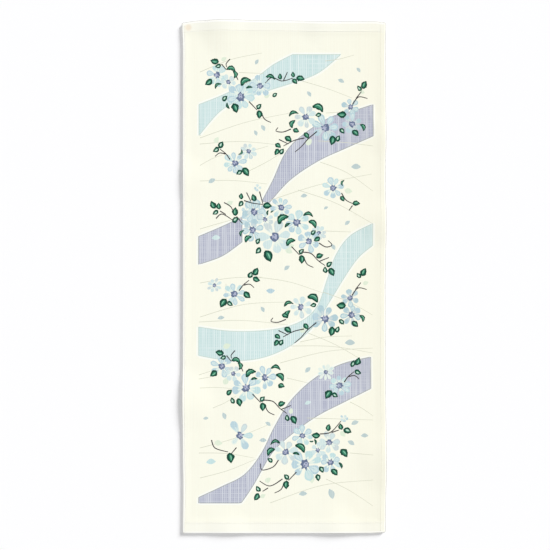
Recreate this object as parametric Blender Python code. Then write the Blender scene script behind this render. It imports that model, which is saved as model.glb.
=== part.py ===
"""Gauze towel, laid out flat: one hemmed cotton cloth, face up.

Metres, +Z up. The origin is on the surface that the towel lies on, under its middle.
+Y runs along the towel to its top end, and +X across it to its right side.
"""

import math

import bmesh
import bpy
from mathutils import Vector

MM = 0.001

# The cut and sewn size
WIDTH = 340 * MM
LENGTH = 860 * MM

# The cloth and its hems, which are the same cloth turned over twice
CLOTH_THICKNESS = 2.0 * MM
HEM_THICKNESS = 3.1 * MM
HEM_STEP = 1.6 * MM  # the slope from the hem's height down to the cloth's
TOP_HEM = 17.0 * MM
BOTTOM_HEM = 19.0 * MM
LEFT_HEM = 5.5 * MM
RIGHT_HEM = 8.5 * MM

# The rounding of the folded edge and of the four corners
FOLD_BEVEL = 0.7 * MM
CORNER_PULL = 1.6 * MM
CORNER_REACH = 9.0 * MM

# The mesh
EDGE_ROW = 2.6 * MM  # the row of faces along each edge, which the corners round in
CELL = 14.0 * MM
BOW_FADE = 55.0 * MM  # how far in from an edge its bowing reaches
RIM_ANGLE = math.radians(60)  # the rim's edges turn more than this before they are rounded
SHARP_ANGLE = math.radians(40)  # edges that turn less than this are shaded smooth

COTTON_CREAM = (0.955, 0.962, 0.838, 1.0)
COTTON_ROUGHNESS = 0.9

# How far each edge bows out from the straight sewn line as the towel lies.
# Columns: place along the edge from its middle, bow outwards; both in mm.
TOP_BOW = (
    (-170, -3.0),
    (-146, 0.4),
    (-104, 2.6),
    (-40, 1.2),
    (20, 0.4),
    (60, -1.0),
    (150, -0.7),
    (170, -2.4),
)
BOTTOM_BOW = (
    (-170, -0.4),
    (-120, 0.2),
    (40, 0.3),
    (140, 0.0),
    (170, -1.8),
)
LEFT_BOW = (
    (-430, -0.6),
    (-354, -1.1),
    (-290, 0.1),
    (-206, 1.1),
    (-130, -0.1),
    (90, -0.6),
    (200, -0.1),
    (386, -0.3),
    (430, 1.6),
)
RIGHT_BOW = (
    (-430, -0.8),
    (-310, 0.9),
    (-132, -0.7),
    (-20, -1.1),
    (90, 0.7),
    (164, -0.8),
    (238, 0.5),
    (386, -1.0),
    (430, 0.2),
)

# Soft ripples, where the cloth doesn't quite lie down. Each is an oval swelling that lifts the
# cloth off the surface. The four corners lie between them, down on the surface, so it rests firm.
# Columns: middle across, middle along, heading of its long axis from +X, half length, half width,
# height; in mm and degrees.
RIPPLES = (
    (-104, 432, 84, 62, 46, 1.5),
    (62, 436, 70, 50, 34, 0.8),
    (-174, 168, 8, 52, 44, 0.9),
    (-176, -206, -6, 66, 58, 1.5),
    (-92, -434, 96, 52, 42, 1.0),
    (172, 92, 172, 54, 46, 1.1),
    (176, -306, 4, 66, 62, 1.3),
    (88, -432, 86, 58, 46, 1.2),
    (172, 238, 184, 48, 40, 0.7),
    (36, 190, 74, 150, 62, 0.45),
    (-66, -150, 104, 160, 66, 0.4),
    (78, -262, 80, 120, 58, 0.4),
)


def clear_scene():
    for thing in list(bpy.data.objects):
        bpy.data.objects.remove(thing)


def smooth(share):
    """0 to 1 with no corner at either end."""
    share = max(0.0, min(1.0, share))
    return share * share * (3 - 2 * share)


def along_table(table, place):
    """The second column of a table at this place, passing smoothly from row to row."""
    if place <= table[0][0]:
        return table[0][1]
    for (start, low), (end, high) in zip(table, table[1:]):
        if place <= end:
            return low + (high - low) * smooth((place - start) / (end - start))
    return table[-1][1]


def bowed(table, place, depth):
    """How far out a point goes that lies at this depth inside the edge."""
    return along_table(table, place / MM) * MM * (1 - smooth(depth / BOW_FADE))


def corner_pull(x, y):
    """How far a point near a corner is drawn in along X and along Y, which rounds the corner."""
    away = math.hypot(WIDTH / 2 - abs(x), LENGTH / 2 - abs(y))
    return CORNER_PULL * (1 - smooth(away / CORNER_REACH))


def as_it_lies(x, y):
    """Where a point of the straight sewn towel lies on the surface."""
    right, left = WIDTH / 2 - x, WIDTH / 2 + x
    top, bottom = LENGTH / 2 - y, LENGTH / 2 + y
    pull = corner_pull(x, y)
    laid_x = x + bowed(RIGHT_BOW, y, right) - bowed(LEFT_BOW, y, left)
    laid_y = y + bowed(TOP_BOW, x, top) - bowed(BOTTOM_BOW, x, bottom)
    return laid_x - math.copysign(pull, x), laid_y - math.copysign(pull, y)


def lift(x, y):
    """How high the ripples hold the cloth's underside off the surface."""
    height = 0.0
    for across, along, heading, half_length, half_width, swell in RIPPLES:
        turn = math.radians(heading)
        east, north = x / MM - across, y / MM - along
        down_it = (east * math.cos(turn) + north * math.sin(turn)) / half_length
        over_it = (north * math.cos(turn) - east * math.sin(turn)) / half_width
        height += swell * MM * max(0.0, 1 - down_it**2 - over_it**2) ** 2
    return height


def thickness(x, y):
    """Two turns of cloth in the hems, one inside them."""
    insides = (
        WIDTH / 2 - x - RIGHT_HEM,
        WIDTH / 2 + x - LEFT_HEM,
        LENGTH / 2 - y - TOP_HEM,
        LENGTH / 2 + y - BOTTOM_HEM,
    )
    in_cloth = smooth(min(insides) / HEM_STEP)
    return HEM_THICKNESS + (CLOTH_THICKNESS - HEM_THICKNESS) * in_cloth


def stations(low_end, high_end, low_hem, high_hem):
    """The places of the mesh's lines from one edge to the other, closer in the hems."""
    start, stop = low_end + low_hem, high_end - high_hem
    first, last = start + HEM_STEP, stop - HEM_STEP
    cells = round((last - first) / CELL)
    inside = [first + (last - first) * i / cells for i in range(cells + 1)]
    return [low_end, low_end + EDGE_ROW, start, *inside, stop, high_end - EDGE_ROW, high_end]


def towel_mesh():
    """The underside as a net of quads, drawn up to the cloth's thickness and rounded at its rim."""
    columns = stations(-WIDTH / 2, WIDTH / 2, LEFT_HEM, RIGHT_HEM)
    rows = stations(-LENGTH / 2, LENGTH / 2, BOTTOM_HEM, TOP_HEM)
    shape = bmesh.new()
    net = [[shape.verts.new((x, y, 0)) for x in columns] for y in rows]
    for low, high in zip(net, net[1:]):
        for a, b, c, d in zip(low, high, high[1:], low[1:]):
            shape.faces.new((a, b, c, d))
    drawn = bmesh.ops.extrude_face_region(shape, geom=shape.faces[:])["geom"]
    face_side = {v for v in drawn if isinstance(v, bmesh.types.BMVert)}
    for v in shape.verts:
        x, y = v.co.x, v.co.y
        z = lift(x, y) + (thickness(x, y) if v in face_side else 0)
        v.co = (*as_it_lies(x, y), z)
    bmesh.ops.recalc_face_normals(shape, faces=shape.faces[:])
    rim = [e for e in shape.edges if e.is_manifold and e.calc_face_angle() > RIM_ANGLE]
    level = [e for e in rim if (e.verts[0] in face_side) == (e.verts[1] in face_side)]
    bmesh.ops.bevel(shape, geom=level, offset=FOLD_BEVEL, segments=1, affect="EDGES")
    bmesh.ops.triangulate(shape, faces=[f for f in shape.faces if len(f.verts) > 4])
    mesh = bpy.data.meshes.new("towel_cloth")
    shape.to_mesh(mesh)
    shape.free()
    return mesh


def centre_on_origin(mesh):
    """Puts the middle of the outline over the origin, with no point under the surface."""
    places = [[v.co[axis] for v in mesh.vertices] for axis in range(2)]
    middle = Vector([(min(line) + max(line)) / 2 for line in places] + [0])
    for v in mesh.vertices:
        v.co -= middle
        v.co.z = max(v.co.z, 0)


def cotton():
    """Undyed cotton gauze: matt, cream, and soft in the light."""
    material = bpy.data.materials.new("cream_cotton_gauze")
    material.use_nodes = True
    shader = material.node_tree.nodes["Principled BSDF"]
    shader.inputs["Base Color"].default_value = COTTON_CREAM
    shader.inputs["Roughness"].default_value = COTTON_ROUGHNESS
    shader.inputs["Metallic"].default_value = 0.0
    return material


def make_towel():
    mesh = towel_mesh()
    centre_on_origin(mesh)
    mesh.shade_smooth()
    mesh.set_sharp_from_angle(angle=SHARP_ANGLE)
    mesh.materials.append(cotton())
    towel = bpy.data.objects.new("towel_cloth", mesh)
    bpy.context.scene.collection.objects.link(towel)


clear_scene()
make_towel()
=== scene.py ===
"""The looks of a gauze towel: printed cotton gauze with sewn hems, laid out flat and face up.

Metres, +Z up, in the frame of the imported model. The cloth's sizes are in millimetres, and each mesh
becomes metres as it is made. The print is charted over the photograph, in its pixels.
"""

import math
import random

import bpy
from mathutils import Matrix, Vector, noise
from mathutils.geometry import delaunay_2d_cdt


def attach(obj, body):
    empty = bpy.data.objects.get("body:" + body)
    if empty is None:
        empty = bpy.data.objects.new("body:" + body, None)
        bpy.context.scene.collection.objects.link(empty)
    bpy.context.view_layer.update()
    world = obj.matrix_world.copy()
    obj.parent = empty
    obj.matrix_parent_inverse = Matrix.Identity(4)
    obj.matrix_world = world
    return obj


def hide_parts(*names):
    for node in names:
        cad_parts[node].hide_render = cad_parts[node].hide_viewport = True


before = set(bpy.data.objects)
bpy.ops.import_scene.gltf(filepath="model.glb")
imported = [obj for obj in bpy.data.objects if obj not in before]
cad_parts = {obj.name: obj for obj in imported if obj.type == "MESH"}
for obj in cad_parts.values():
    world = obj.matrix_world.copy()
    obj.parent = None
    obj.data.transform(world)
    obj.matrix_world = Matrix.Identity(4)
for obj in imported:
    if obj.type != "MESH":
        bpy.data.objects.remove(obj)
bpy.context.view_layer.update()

MM = 0.001

# The sewn towel, in millimetres
WIDTH = 340.0
LENGTH = 860.0
CLOTH_THICKNESS = 2.65
HEM_THICKNESS = 2.85
HEM_STEP = 6.0  # the slope from the hem's height down to the cloth's
TOP_HEM = 17.0
BOTTOM_HEM = 19.0
LEFT_HEM = 5.5
RIGHT_HEM = 8.5
FOLD_RADIUS = 0.35  # the round of the folded edge
SHADOW_LIP = 2.2  # how far a thin grey lip stands out past the rim on the top and right sides, a sheet that carries a painted shadow line where the floor beside the edge is shaded
CORNER_ROUND = 1.4
CORNER_CLEARANCE = 0.5  # the rim's straight points start this far past its corners
RIM_LINE = 0.3  # a line of the net this close inside the rim keeps the rim's shading off the cloth
CORNER_PULL = 0.2
CORNER_REACH = 9.0
BOW_FADE = 55.0
GRID = 5.0  # the lines of the cloth's net lie this far apart

# How far each edge bows out from the straight sewn line as the towel lies.
# Columns: place along the edge from its middle, bow outwards.
TOP_BOW = (
    (-170, -3.0), (-146, 0.4), (-104, 2.6), (-40, 1.2), (20, 0.4), (60, -1.0), (150, -0.7), (170, -2.4),
)
BOTTOM_BOW = ((-170, 0.3), (-120, 0.35), (40, 0.45), (140, 0.25), (170, -0.9))
LEFT_BOW = (
    (-430, 0.2), (-354, -0.4), (-290, 0.4), (-206, 1.3), (-130, 0.3),
    (-20, 0.1), (90, 0.0), (200, 0.3), (386, 0.1), (430, 1.6),
)
RIGHT_BOW = (
    (-430, -0.8), (-310, 0.9), (-132, -0.7), (-20, -1.1), (90, 0.7),
    (164, -0.8), (238, 0.5), (386, -1.0), (430, 0.2),
)

# Soft ripples that lift the cloth off the surface.
# Columns: middle across, middle along, heading, half length, half width, height.
RIPPLES = (
    (-104, 432, 84, 62, 46, 1.5), (62, 436, 70, 50, 34, 0.8), (-174, 168, 8, 52, 44, 0.9),
    (-176, -206, -6, 66, 58, 1.5), (-92, -434, 96, 52, 42, 1.0), (172, 92, 172, 54, 46, 1.1),
    (176, -306, 4, 66, 62, 1.3), (88, -432, 86, 58, 46, 1.2), (172, 238, 184, 48, 40, 0.7),
    (36, 190, 74, 150, 62, 0.45), (-66, -150, 104, 160, 66, 0.4), (78, -262, 80, 120, 58, 0.4),
)

# The chart of the print, made over the photograph. It is in the photograph's pixels, counted
# # across and down from the top left corner. PIXEL is one pixel's width on the towel.
TOWEL_PIXELS = 202.1
PIXEL = WIDTH / TOWEL_PIXELS
CHART_MIDDLE = (284.1, 277.3)

# The flowing bands, one ink each. Rows: ink, the upper edge and the lower edge from the left of the
# printed panel to its right, as points of the chart.
BANDS = (
    (
        "aqua band",
        ((199, 104.5), (225, 94), (254, 79), (273, 65), (292.5, 54.5)),
        ((199, 135.5), (221, 110.5), (246, 98), (270, 90), (292, 83), (318, 73), (341, 54.5)),
    ),
    (
        "lavender band",
        ((262, 201), (273, 180), (286, 152), (304, 134), (330, 117.5), (353, 111), (373, 104.5)),
        ((269, 203), (290, 180), (318, 161), (346, 148), (373, 136)),
    ),
    (
        "lavender band",
        ((198.5, 236.5), (222, 226.5), (242, 217)),
        ((198.5, 264.5), (222, 256), (242, 242)),
    ),
    (
        "aqua band",
        (
            (198.5, 327), (228, 331), (258, 331), (284, 327.5), (304, 319.5), (318, 305),
            (327, 280), (336, 255), (350, 236), (372.5, 223.5),
        ),
        (
            (198.5, 355.5), (230, 360.5), (261, 358), (290, 346), (313, 327), (330, 301),
            (344, 278), (358, 258), (372.5, 245.5),
        ),
    ),
    (
        "lavender band",
        (
            (198.5, 497.5), (221, 487), (244, 475), (261, 454), (275, 426), (291, 400.5),
            (315, 378), (342, 364), (371, 357),
        ),
        (
            (198.5, 503), (220, 503), (239.5, 503), (241.5, 502.5), (254, 484), (272, 453),
            (292, 434), (317, 416), (344, 402), (371, 388.5),
        ),
    ),
)

# Fine arcs behind the sprays. Columns: from across, from down, to across, to down, sag downwards.
ARCS = (
    (200, 72, 262, 53, -3), (200, 138, 290, 113, -3), (200, 144, 280, 145, -3), (200, 165.5, 222, 155, -1),
    (249, 171, 286, 150, 1), (318, 141, 373, 146, -1), (323, 292, 373, 315, -2),
    (302, 81, 352, 98, -1), (320, 162, 373, 191, -4), (200, 181, 267, 184, -2), (268, 201, 372, 174, -3),
    (298, 190, 373, 224, -4), (200, 229, 268, 214, -2), (325, 231, 351, 232, 0), (200, 283, 262, 277, -2),
    (256, 277, 323, 293, -3), (200, 317, 288, 302, -5), (199, 322, 288, 325, -3), (308, 333, 362, 360, -2),
    (291, 346, 373, 353, -3), (280, 363, 373, 348, -4), (199, 375, 214, 370, 0), (199, 379, 211, 377, 0),
    (200, 388, 236, 389, -1),
    (287, 378, 308, 383, 0), (213, 408, 236, 396, 1), (350, 402, 373, 416, -1), (307, 418, 373, 420, 0),
    (200, 448, 268, 425, 2), (199, 453, 254, 458, -2), (200, 478, 256, 459, 2), (350, 453, 373, 455, 0),
    (270, 503, 373, 480, -6), (326, 479, 373, 506, -2), (239, 72.5, 264, 73.5, 0), (325, 61, 354, 55, 1),
    (326, 113, 342, 112, 0), (248, 150, 268, 146, 1), (226, 284, 226, 300, 0), (300, 342, 352, 336, -2),
)

# Petals that have come loose. Columns: across, down, length, heading, ink where it isn't the usual one.
LOOSE_PETALS = (
    (257, 62, 6, 60), (358.5, 70, 6, -50), (341, 81, 7, -25), (309, 94, 6.5, -55), (263, 128, 7, -60),
    (255.5, 133, 6, -65), (356, 167, 10, 0), (212, 181, 8, 30), (304, 196, 7, 10), (326, 208, 5, 30),
    (347.5, 223, 6.5, 40), (333, 247, 7, -55), (216, 238, 9, 5, "aqua band"), (287, 268, 7, 40),
    (270.5, 290.5, 9, 180, "blue petal"), (262.5, 309.5, 6.5, -60), (221, 318, 7, 10),
    (350, 343, 10.5, 0), (308, 370, 7.5, 45), (206, 418.5, 5.5, 10), (224, 416, 7.5, -70),
    (268, 424, 6.5, -35), (308, 403, 7, 20, "aqua band"), (263, 440.5, 7.5, 0), (355, 423, 8, 20),
    (364.5, 435.8, 7.5, 0), (351, 443, 8, -30), (211, 462, 10, 5, "sky petal"), (303, 494, 8.5, 5),
    (331, 494, 11, -70),
)

# Faint leaves behind the sprays. Columns: across, down, length, heading.
FAINT_LEAVES = (
    (224, 59, 6, 30), (216.5, 140, 7, 60), (267, 96, 6, 20), (362, 92, 6, -20), (230, 203, 7, 30),
    (309, 142, 8, 50), (289, 251, 8, -30), (348.5, 191, 8, -10), (291, 246, 7, 10), (366, 283, 6, 20),
    (227, 346, 8, 20), (218.5, 443, 8, -10), (311.5, 479, 9, -80), (268, 480, 7, 40), (343, 434, 7, -50),
    (226, 381, 8, 60), (303, 330, 7, 40), (291, 411, 6, 80), (263, 496, 6, 30),
)

# Sprays. Each has leaves, with the columns across, down, length, heading of the tip, kind. It may
# have stems, rows of points; and flowers, with the columns across, down, reach, petals, turn, look.
TOP_SPRAY = {
    "stems": (
        ((230, 59), (226, 64), (227, 67)),
        ((221.5, 64), (226.5, 70)),
        ((236.5, 76.5), (238, 80)),
    ),
    "flowers": (
        (217, 75, 11, 6, 100, "blue"), (228.2, 82, 8, 6, 50, "pale"),
        (260, 86, 11, 7, 60, "blue"), (241, 96.5, 14.5, 7, 95, "blue"),
    ),
    "leaves": (
        (214.6, 61, 9, 170, "blade"), (218, 65.8, 6.5, 200, "open"), (231, 70, 9.5, -15, "bent"),
        (234, 74.5, 8, -85, "bent"), (208.4, 82, 9, 220, "blade"),
        (246, 82.7, 12, 28, "bent"), (249.3, 87.8, 7, 5, "curl"),
    ),
}
TOP_TAIL = {
    "leaves": (
        (218.5, 86.5, 8.5, 35, "arch"), (225, 98.5, 7, 50, "open"), (228.2, 105.6, 7, 110, "curl"),
        (235, 108.2, 10.5, -70, "blade"),
    ),
}
LOWER_TAIL = {
    "leaves": (
        (229.5, 392.5, 7.5, 50, "blade"), (232.8, 400.5, 7, 110, "open"), (239, 402.5, 9, -75, "blade"),
    ),
}
RUNNING_VINE = {
    "stems": (
        ((265, 83), (272, 77.5), (282, 81), (293, 78)),
        ((283.5, 80.5), (287.5, 72)),
    ),
    "leaves": (
        (270, 79, 11, -10, "arch"), (275, 95, 6, 40, "open"), (280.3, 76.4, 6.5, 95, "blade"),
        (293.3, 74.5, 6, 100, "blade"), (300.5, 78.7, 9, -10, "blade"), (294.7, 81.5, 7, -45, "blade"),
    ),
}
HANGING_PAIR = {
    "stems": (
        ((249, 101.5), (257, 110)),
        ((261, 111.5), (264.5, 119), (271, 122.5)),
    ),
    "leaves": ((259.2, 106.6, 7, 50, "open"), (259, 114.4, 9, -88, "blade")),
}
THREE_LEAF_VINE = {
    "stems": (
        ((301.5, 252), (311, 253.5), (318, 260.5), (325, 265.5)),
        ((319, 261.5), (329, 257.5)),
    ),
    "leaves": (
        (319.8, 256, 8, 20, "blade"), (325.5, 269.8, 7, 100, "open"), (331.5, 272.1, 9.5, -60, "blade"),
    ),
}
TIP_LEAF = {"leaves": ((329.5, 264.4, 7.5, 45, "open"),)}
CURLED_LEAVES = {
    "leaves": (
        (308.1, 216.2, 10.5, -10, "arch"), (312.1, 224.6, 10.5, -45, "bent"), (313.5, 232.6, 6.5, 40, "open"),
    ),
}
SIDE_SPRAY = {
    "stems": (
        ((352.5, 104.5), (358.5, 97), (367.5, 98.5)),
        ((356, 98.5), (361.5, 91.5)),
        ((317, 131.5), (308, 139), (302, 146), (295, 152)),
        ((304.5, 138), (294, 140.5), (283.5, 146)),
        ((279, 139.5), (288.5, 144)),
    ),
    "flowers": (
        (350.6, 107, 9, 6, 40, "veiled"), (352, 124, 11, 7, 80, "veiled"),
        (325.4, 127.9, 13.5, 7, 110, "veiled"),
    ),
    "leaves": (
        (341.6, 114.2, 10, 178, "blade"), (342, 131.1, 7, -45, "open"), (362, 127.6, 8, -65, "bent"),
        (355.4, 133.2, 8.5, -40, "blade"), (332, 140.4, 10, -100, "blade"), (338.3, 138.5, 7, 70, "open"),
        (306.4, 135.6, 7.5, -55, "blade"), (288.3, 139.1, 8.5, -35, "blade"), (278, 145.8, 7, -35, "blade"),
        (276.6, 151.9, 7.5, 240, "blade"), (282, 151.5, 7, 60, "open"),
    ),
}
HOOKED_LEAVES = {
    "stems": (
        ((291, 129), (283, 132), (276, 131), (278, 127.5)),
    ),
    "flowers": ((305.9, 116.8, 11, 7, 20, "pale"),),
    "leaves": (
        (293.8, 115, 10.5, 15, "arch"), (317.7, 109.1, 12.5, -30, "bent"), (318.2, 114.6, 6.5, 195, "open"),
        (293.5, 124.1, 9, 65, "bent"),
    ),
}
UPPER_PAIR = {
    "leaves": ((359.5, 88.1, 6.5, 130, "open"), (364.6, 84.9, 9, 65, "blade")),
}
SMALL_LEAF = {"leaves": ((296, 130.8, 7, -20, "blade"),)}
LONE_SPRAY = {
    "stems": (
        ((230, 159.5), (226, 154), (220, 149)),
        ((225.5, 154), (219.5, 153), (215, 156.5)),
    ),
    "flowers": ((234.7, 163.1, 11.5, 8, 100, "blue"),),
    "leaves": ((245.7, 172, 10.5, -55, "blade"), (239, 172.3, 7, 215, "open")),
}
LONE_PAIR = {
    "flowers": ((248.6, 151.1, 8.5, 8, 70, "pale"),),
    "leaves": (
        (221.3, 144.9, 8, 65, "open"), (215.9, 149.6, 7.5, 215, "open"), (239.9, 151.9, 6.5, 235, "arch"),
    ),
}
LONE_TRIO = {
    "flowers": ((254.5, 154.2, 7.5, 8, 70, "pale"),),
    "leaves": (
        (219, 143.4, 7.5, 115, "open"), (213.6, 140.2, 9, 120, "blade"), (212.6, 148, 8, 205, "blade"),
        (221.8, 163.6, 9, 225, "blade"),
    ),
}
WHITE_TRIO = {
    "flowers": ((248.4, 149.6, 8.5, 9, 70, "white"),),
    "leaves": (
        (221.7, 141, 7.5, 110, "open"), (216.6, 138.6, 9, 115, "blade"), (216.2, 149.4, 7.5, 205, "open"),
    ),
}
HEART_SPRAY = {
    "stems": (
        ((216, 218.5), (222, 214), (232.5, 220)),
        ((220, 211), (226, 214.5)),
        ((224, 202.5), (231, 207), (234, 214.5)),
        ((236.5, 216.5), (242.5, 223.5)),
        ((246.5, 192.5), (251, 201.5)),
        ((244, 200.5), (252, 203), (263, 204.5)),
        ((259.5, 191.5), (263, 204)),
        ((319, 243), (326, 247), (332, 245), (328, 240.5)),
    ),
    "flowers": (
        (257.6, 188, 3.6, 4, 90, "bud"), (249, 220.5, 9, 6, 20, "bud"), (260.5, 210, 5, 5, 50, "bud"),
        (246.5, 210.5, 5.5, 5, 10, "bud"), (253.8, 211.7, 12, 6, 70, "veiled"),
        (265, 219.5, 8, 6, 30, "pale"), (281, 207.4, 10.5, 8, 50, "blue"), (318.5, 232.9, 8, 8, 10, "pale"),
        (308.8, 241.3, 11, 6, 100, "blue"), (297, 222.4, 13, 7, 80, "blue"),
        (252.6, 229.8, 12, 6, 75, "veiled"), (274.7, 237.1, 17, 7, 70, "pale"),
    ),
    "leaves": (
        (213.2, 204.7, 9, 120, "blade"), (219, 206.1, 7, 95, "blade"), (215.3, 212.3, 7, 215, "open"),
        (235.5, 211.5, 9, 90, "blade"), (235.6, 220, 8, 35, "open"), (241.4, 196.2, 6.5, 90, "blade"),
        (240.6, 203.7, 7, 235, "open"), (254, 197.5, 8, 110, "blade"), (267.4, 206, 9.5, 0, "blade"),
        (268, 212.6, 5.5, 80, "curl"), (272.3, 211.8, 4, 30, "curl"), (283.5, 220.2, 13.5, 35, "bent"),
        (287.7, 225.3, 7.5, 35, "curl"), (242.6, 233.5, 7.5, 60, "arch"), (248.5, 239.4, 9, 40, "bent"),
        (258.2, 241.2, 7, 60, "open"), (258, 250.5, 8, 235, "open"), (268, 256.2, 13, -65, "blade"),
        (291, 242.9, 11, 32, "bent"), (316.8, 239, 7.5, 210, "blade"),
    ),
}
DROP_SPRAY = {
    "stems": (
        ((341.5, 193), (346, 200), (352.5, 203.5)),
        ((352.5, 205.5), (349, 210.5)),
    ),
    "flowers": ((333.2, 187.8, 10.5, 7, 60, "blue"),),
    "leaves": (
        (343.6, 183, 6.5, 70, "arch"), (342.3, 198.8, 6.5, -55, "blade"), (356.3, 203.5, 8, 0, "blade"),
    ),
}
OPEN_SPRAY = {
    "stems": (
        ((211.5, 440), (215, 448), (228, 452)),
        ((236.5, 447.5), (231, 454)),
    ),
    "flowers": ((239.8, 435.6, 13, 5, 120, "spread"),),
    "leaves": ((230.2, 458, 11, -80, "blade"),),
}
LOW_SPRAY = {
    "stems": (
        ((320, 434), (331, 432), (341, 421)),
        ((331.5, 432.5), (339, 430)),
        ((278.5, 460), (273, 467), (262, 470), (260.5, 463.5)),
        ((282.5, 479), (270, 486), (259.5, 481)),
        ((268, 488), (262.5, 491.5)),
    ),
    "flowers": (
        (344, 418.5, 4, 5, 60, "bud"), (302.3, 435.9, 10.5, 7, 90, "blue"), (329.2, 442.6, 11, 7, 60, "pale"),
        (318, 450.2, 8, 6, 30, "pale"), (285.6, 451.7, 12, 7, 65, "pale"), (330.8, 462.3, 11, 7, 80, "blue"),
        (305.3, 464.7, 16, 7, 75, "blue"),
    ),
    "leaves": (
        (315.8, 435.2, 9, 175, "blade"), (328.6, 427.5, 7.5, 80, "blade"), (341, 426.5, 7, 105, "blade"),
        (347.4, 431, 9, -20, "open"), (311.4, 441, 4.5, 180, "curl"), (315, 442, 6, -80, "curl"),
        (299.8, 448.9, 12.5, -40, "bent"), (296.2, 454.2, 7.5, -15, "curl"), (344, 453.2, 10.5, -50, "blade"),
        (340.3, 465.6, 7.5, -65, "curl"), (334.4, 472.3, 9, -45, "blade"), (321.4, 469.7, 7.5, -60, "open"),
        (317.8, 477.6, 7.5, -80, "open"), (258.3, 488.7, 7, 125, "open"), (256.4, 496.8, 8.5, 240, "blade"),
    ),
}

# Which sprays are printed, in order. Columns: spray, how far it is moved across and down, and True
# for a mirrored one, which runs left from that place across.
PLACED_SPRAYS = (
    (RUNNING_VINE,), (TOP_SPRAY,), (TOP_TAIL,), (HANGING_PAIR,), (SIDE_SPRAY,), (HOOKED_LEAVES,),
    (UPPER_PAIR,), (SMALL_LEAF,), (LONE_SPRAY,), (LONE_PAIR,), (DROP_SPRAY,), (HEART_SPRAY,),
    (CURLED_LEAVES,), (HANGING_PAIR, 42.5, 145), (THREE_LEAF_VINE,), (TIP_LEAF,),
    (LONE_SPRAY, 469.1, 131.2, True), (LONE_TRIO, 469.1, 131.2, True), (SIDE_SPRAY, -0.5, 191),
    (HOOKED_LEAVES, -5, 190.3), (UPPER_PAIR, -0.5, 187.2), (SMALL_LEAF, -11, 185),
    (TOP_SPRAY, 5, 291.5), (LOWER_TAIL,), (CURLED_LEAVES, -32.5, 153.2), (SMALL_LEAF, -14.5, 255),
    (HANGING_PAIR, 3.5, 292.5), (THREE_LEAF_VINE, -38, 148), (LONE_SPRAY, 574.2, 222.6, True),
    (WHITE_TRIO, 574.2, 222.6, True), (OPEN_SPRAY,), (LOW_SPRAY,), (CURLED_LEAVES, 583.4, 227.8, True),
    (HANGING_PAIR, 545.5, 370.5, True),
)

# The five spread petals of the open flower. Columns: heading, reach, width, ink.
SPREAD_PETALS = (
    (62, 13.5, 5.5, "grey petal"), (228, 11.5, 5.5, "white petal"), (0, 13.5, 6, "sky petal"),
    (119, 16.5, 7.5, "blue petal"), (-62, 15.5, 7.5, "blue petal"),
)

# How a flower is printed. Columns: inks that its petals may take, their paler ink near the eye,
# share of its reach taken by its eye.
FLOWER_LOOKS = {
    "blue": (("blue petal", "blue petal", "sky petal"), "white petal", 0.3),
    "pale": (("grey petal", "light petal", "light petal"), "white petal", 0.29),
    "veiled": (("veiled petal", "veiled petal", "blue petal"), "grey petal", 0.3),
    "white": (("white petal",), "white petal", 0.24),
    "bud": (("light petal", "blue petal"), "light petal", 0.0),
    "spread": ((), "light petal", 0.3),
}


def smooth(share):
    """0 to 1 with no corner at either end."""
    share = max(0.0, min(1.0, share))
    return share * share * (3 - 2 * share)


def along_table(table, place):
    """The second column of a table at this place, passing smoothly from row to row."""
    if place <= table[0][0]:
        return table[0][1]
    for (start, low), (end, high) in zip(table, table[1:]):
        if place <= end:
            return low + (high - low) * smooth((place - start) / (end - start))
    return table[-1][1]


def bowed(table, place, depth):
    """How far out a point goes that lies at this depth inside the edge."""
    return along_table(table, place) * (1 - smooth(depth / BOW_FADE))


def spread_out(x, y):
    """Where a point of the straight sewn towel lies on the surface."""
    right, left = WIDTH / 2 - x, WIDTH / 2 + x
    top, bottom = LENGTH / 2 - y, LENGTH / 2 + y
    away = math.hypot(WIDTH / 2 - abs(x), LENGTH / 2 - abs(y))
    pull = CORNER_PULL * (1 - smooth(away / CORNER_REACH))
    laid_x = x + bowed(RIGHT_BOW, y, right) - bowed(LEFT_BOW, y, left)
    laid_y = y + bowed(TOP_BOW, x, top) - bowed(BOTTOM_BOW, x, bottom)
    return laid_x - math.copysign(pull, x), laid_y - math.copysign(pull, y)


def lift(x, y):
    """How high the ripples hold the cloth's underside off the surface."""
    height = 0.0
    for across, along, heading, half_length, half_width, swell in RIPPLES:
        turn = math.radians(heading)
        east, north = x - across, y - along
        down_it = (east * math.cos(turn) + north * math.sin(turn)) / half_length
        over_it = (north * math.cos(turn) - east * math.sin(turn)) / half_width
        height += swell * max(0.0, 1 - down_it**2 - over_it**2) ** 2
    return height


def depths(x, y):
    """How far inside each hem's inner edge a point lies: right, left, top and bottom."""
    return (
        WIDTH / 2 - x - RIGHT_HEM,
        WIDTH / 2 + x - LEFT_HEM,
        LENGTH / 2 - y - TOP_HEM,
        LENGTH / 2 + y - BOTTOM_HEM,
    )


# The sewing runs this far outside a hem's inner edge, and pulls the cloth down into a soft groove
SEAM_INSET = 1.6
SEAM_GROOVE = 0.05
SEAM_SPREAD = 1.4
CRINKLE = 0.06  # the fine unevenness of washed gauze
CRINKLE_SIZE = 16.0
CRINKLE_STRETCH = 2.6  # the crinkles run this many times as far down the cloth as across it
CRINKLE_SLICE = 3.1  # which slice of the noise they follow
BACK_STEP = 0.45  # how far the edge of the turned hem draws the back up
BACK_STEP_SPREAD = 0.9


def face_height(x, y):
    """How high the printed face lies over the surface."""
    inside = min(depths(x, y))
    height = HEM_THICKNESS + (CLOTH_THICKNESS - HEM_THICKNESS) * smooth(inside / HEM_STEP)
    from_seam = (inside + SEAM_INSET) / SEAM_SPREAD
    height -= SEAM_GROOVE * math.exp(-from_seam * from_seam)
    crinkle = noise.noise(
        Vector((x / CRINKLE_SIZE, y / (CRINKLE_STRETCH * CRINKLE_SIZE), CRINKLE_SLICE))
    )
    return lift(x, y) + height + CRINKLE * crinkle


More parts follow.
